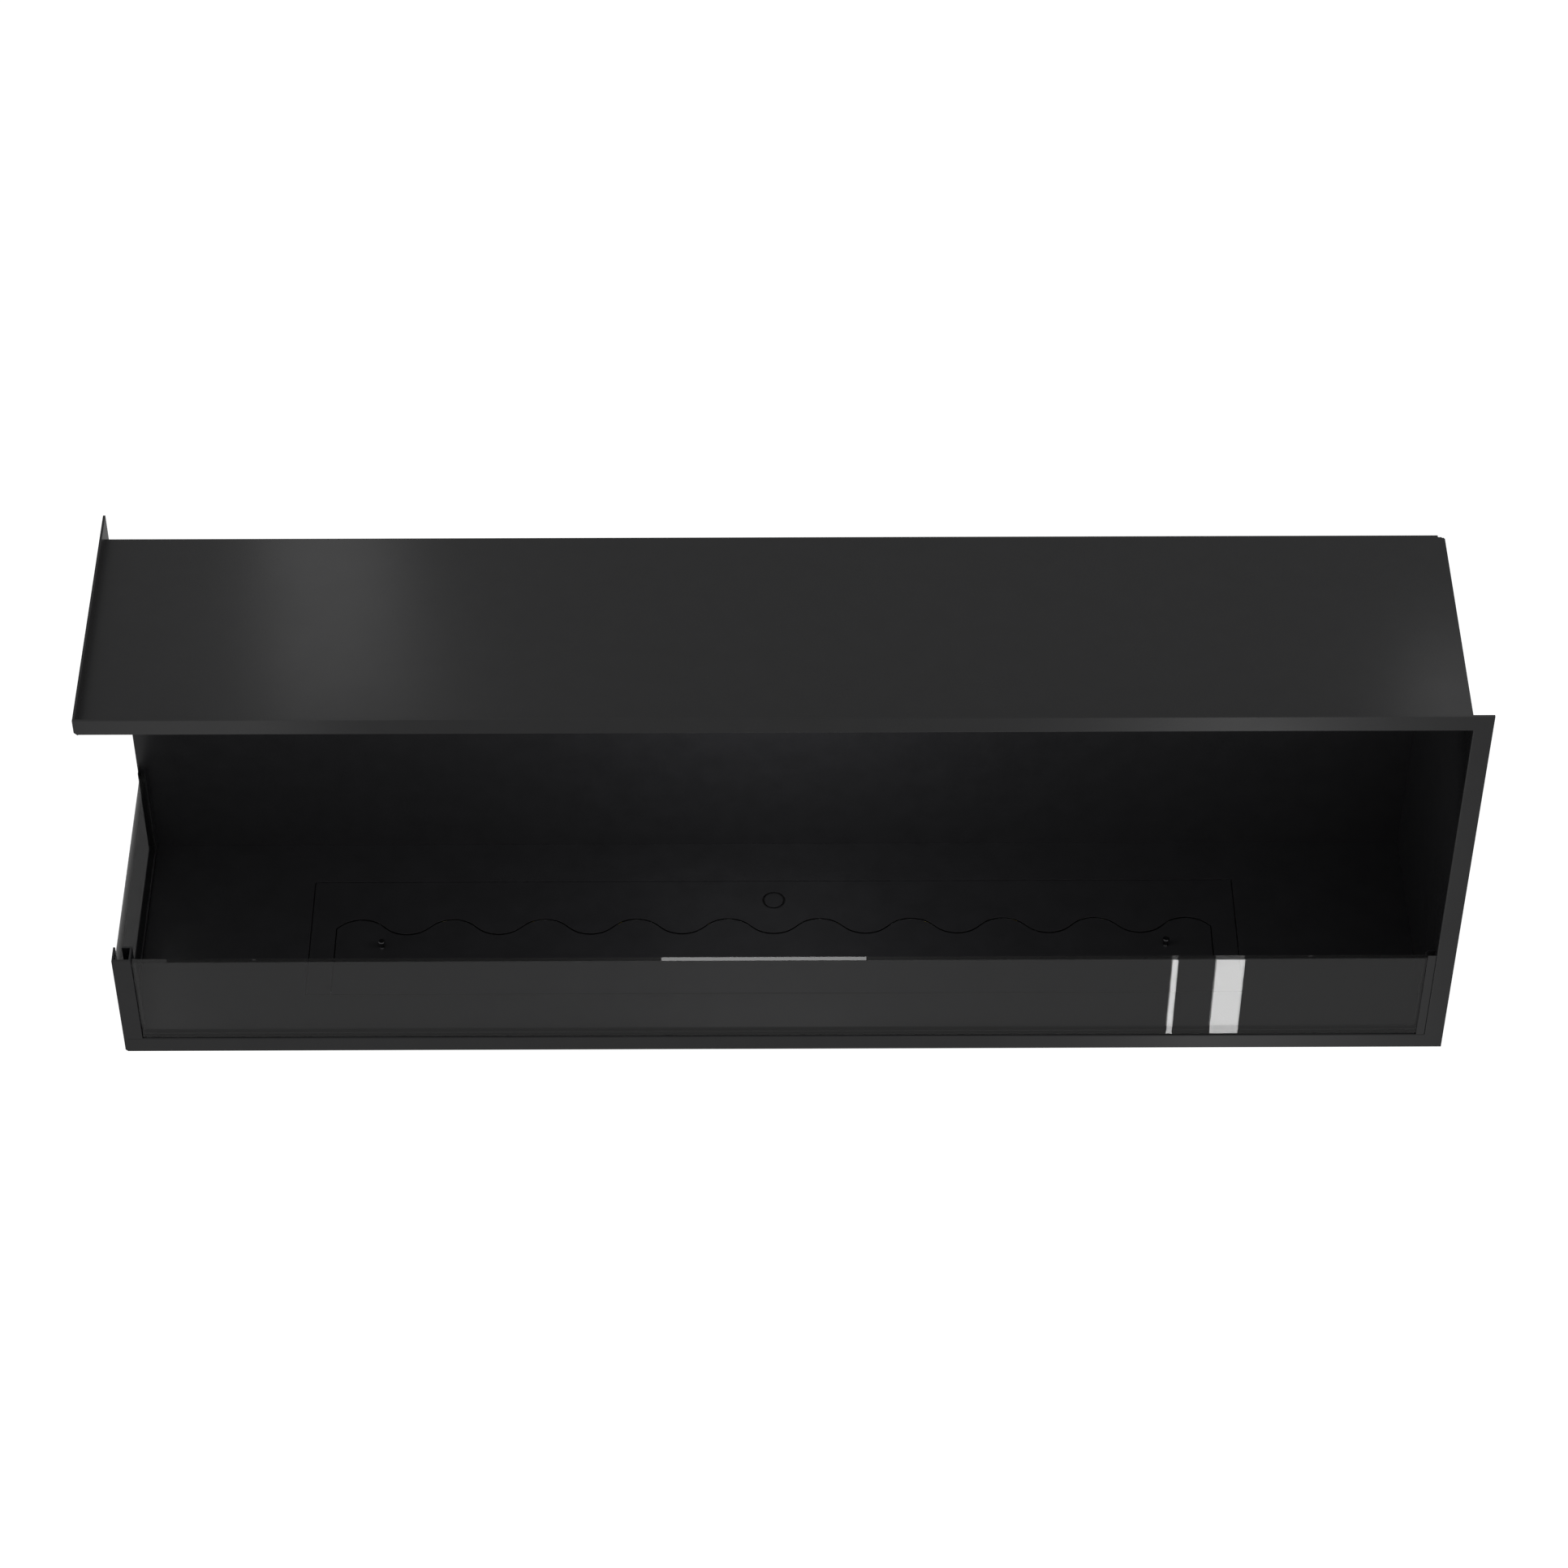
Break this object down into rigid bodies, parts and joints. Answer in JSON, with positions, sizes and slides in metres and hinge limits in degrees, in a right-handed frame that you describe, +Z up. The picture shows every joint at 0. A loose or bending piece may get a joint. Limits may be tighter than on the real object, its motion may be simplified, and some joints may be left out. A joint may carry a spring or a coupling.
{
  "type": "built-in electric fireplace",
  "caption": "Built-in corner fireplace: black steel casing open at the front and one side, low smoked glass panes, and a water-vapour burner with a lift-off cover in its floor.",
  "frame": {"origin": "bottom centre of the whole object: the middle of its width and depth, at the underside of the burner housing", "axes": "+X right along the front, +Y back into the wall, +Z up; the open end is at -X"},
  "size_m": [1.408, 0.301, 0.568],
  "materials": {
    "casing_black": "fine satin powder coat, black",
    "profile_black": "satin black",
    "burner_black": "fine satin powder coat, black",
    "smoked_glass": "smoked toughened glass, polished edges",
    "seal_rubber": "matt black",
    "knob_steel": "turned, black nickel",
    "zinc_steel": "zinc plated",
    "housing_steel": "matt black",
    "stainless": "brushed",
    "trough_plastic": "fine texture, dark grey",
    "tank_plastic": "translucent white",
    "cap_plastic": "blue",
    "tube_silicone": "translucent silicone",
    "fan_plastic": "black",
    "impeller_plastic": "dark grey",
    "board_white": "white solder mask",
    "led_phosphor": "yellow phosphor",
    "ceramic": "metallised ceramic",
    "float_foam": "white",
    "board_green": "green solder mask",
    "component_black": "black",
    "inlet_plastic": "black",
    "contact_brass": "nickel-brass",
    "rocker_red": "red",
    "loom_sleeve": "braided grey sleeve"
  },
  "bodies": {
    "casing": {"top_panel": "casing_black", "back_panel": "casing_black", "right_panel": "casing_black", "base_pan": "casing_black", "floor_plate": "casing_black", "corner_post": "casing_black", "right_glass_channel": "profile_black", "rear_glass_channel": "profile_black", "front_glass_rail": "profile_black", "side_glass_rail": "profile_black", "rear_plate": "burner_black", "front_glass_gasket": "seal_rubber", "side_glass_gasket": "seal_rubber", "burner_screws": "zinc_steel", "fan_screws": "zinc_steel", "board_standoffs": "zinc_steel", "power_supply": "zinc_steel", "burner_housing": "housing_steel", "burner_ledges": "housing_steel", "mist_makers": "stainless", "level_stem": "stainless", "mist_trough": "trough_plastic", "mist_hood": "trough_plastic", "water_tank": "tank_plastic", "feed_tube": "tube_silicone", "fan_frame_left": "fan_plastic", "fan_frame_middle": "fan_plastic", "fan_frame_right": "fan_plastic", "led_boards": "board_white", "led_chips": "led_phosphor", "ceramic_discs": "ceramic", "control_board": "board_green", "board_parts": "component_black", "terminal_block": "component_black", "mains_inlet": "inlet_plastic", "rocker_bezel": "inlet_plastic", "inlet_pins": "contact_brass", "earth_stud": "contact_brass", "wiring_loom": "loom_sleeve"},
    "cover": {"front_cover": "burner_black", "cover_knobs": "knob_steel"},
    "front_pane": {"front_glass": "smoked_glass"},
    "side_pane": {"side_glass": "smoked_glass"},
    "tank_cap": {"filler_cap": "cap_plastic", "cap_seal": "seal_rubber"},
    "float": {"level_float": "float_foam"},
    "rotor_left": {"impeller_left": "impeller_plastic"},
    "rotor_middle": {"impeller_middle": "impeller_plastic"},
    "rotor_right": {"impeller_right": "impeller_plastic"},
    "rocker": {"power_rocker": "rocker_red"}
  },
  "joints": [
    {"name": "cover_lift", "type": "slide", "parent": "casing", "child": "cover", "axis": [0, 0, 1], "range_m": [0, 0.18]},
    {"name": "front_glass_lift", "type": "slide", "parent": "casing", "child": "front_pane", "axis": [0, 0, 1], "range_m": [0, 0.15]},
    {"name": "side_glass_lift", "type": "slide", "parent": "casing", "child": "side_pane", "axis": [0, 0, 1], "range_m": [0, 0.15]},
    {"name": "filler_cap_lift", "type": "slide", "parent": "casing", "child": "tank_cap", "axis": [0, 0, 1], "range_m": [0, 0.012]},
    {"name": "level_float_rise", "type": "slide", "parent": "casing", "child": "float", "axis": [0, 0, 1], "range_m": [0, 0.014]},
    {"name": "fan_left_spin", "type": "hinge", "parent": "casing", "child": "rotor_left", "pos_m": [-0.31, 0.0435, 0.044], "axis": [0, 1, 0], "continuous": true},
    {"name": "fan_middle_spin", "type": "hinge", "parent": "casing", "child": "rotor_middle", "pos_m": [-0.01, 0.0435, 0.044], "axis": [0, 1, 0], "continuous": true},
    {"name": "fan_right_spin", "type": "hinge", "parent": "casing", "child": "rotor_right", "pos_m": [0.29, 0.0435, 0.044], "axis": [0, 1, 0], "continuous": true},
    {"name": "power_rocker_tilt", "type": "hinge", "parent": "casing", "child": "rocker", "pos_m": [0.482, 0.0215, 0.036], "axis": [0, 1, 0], "range_deg": [-14, 0]}
  ]
}
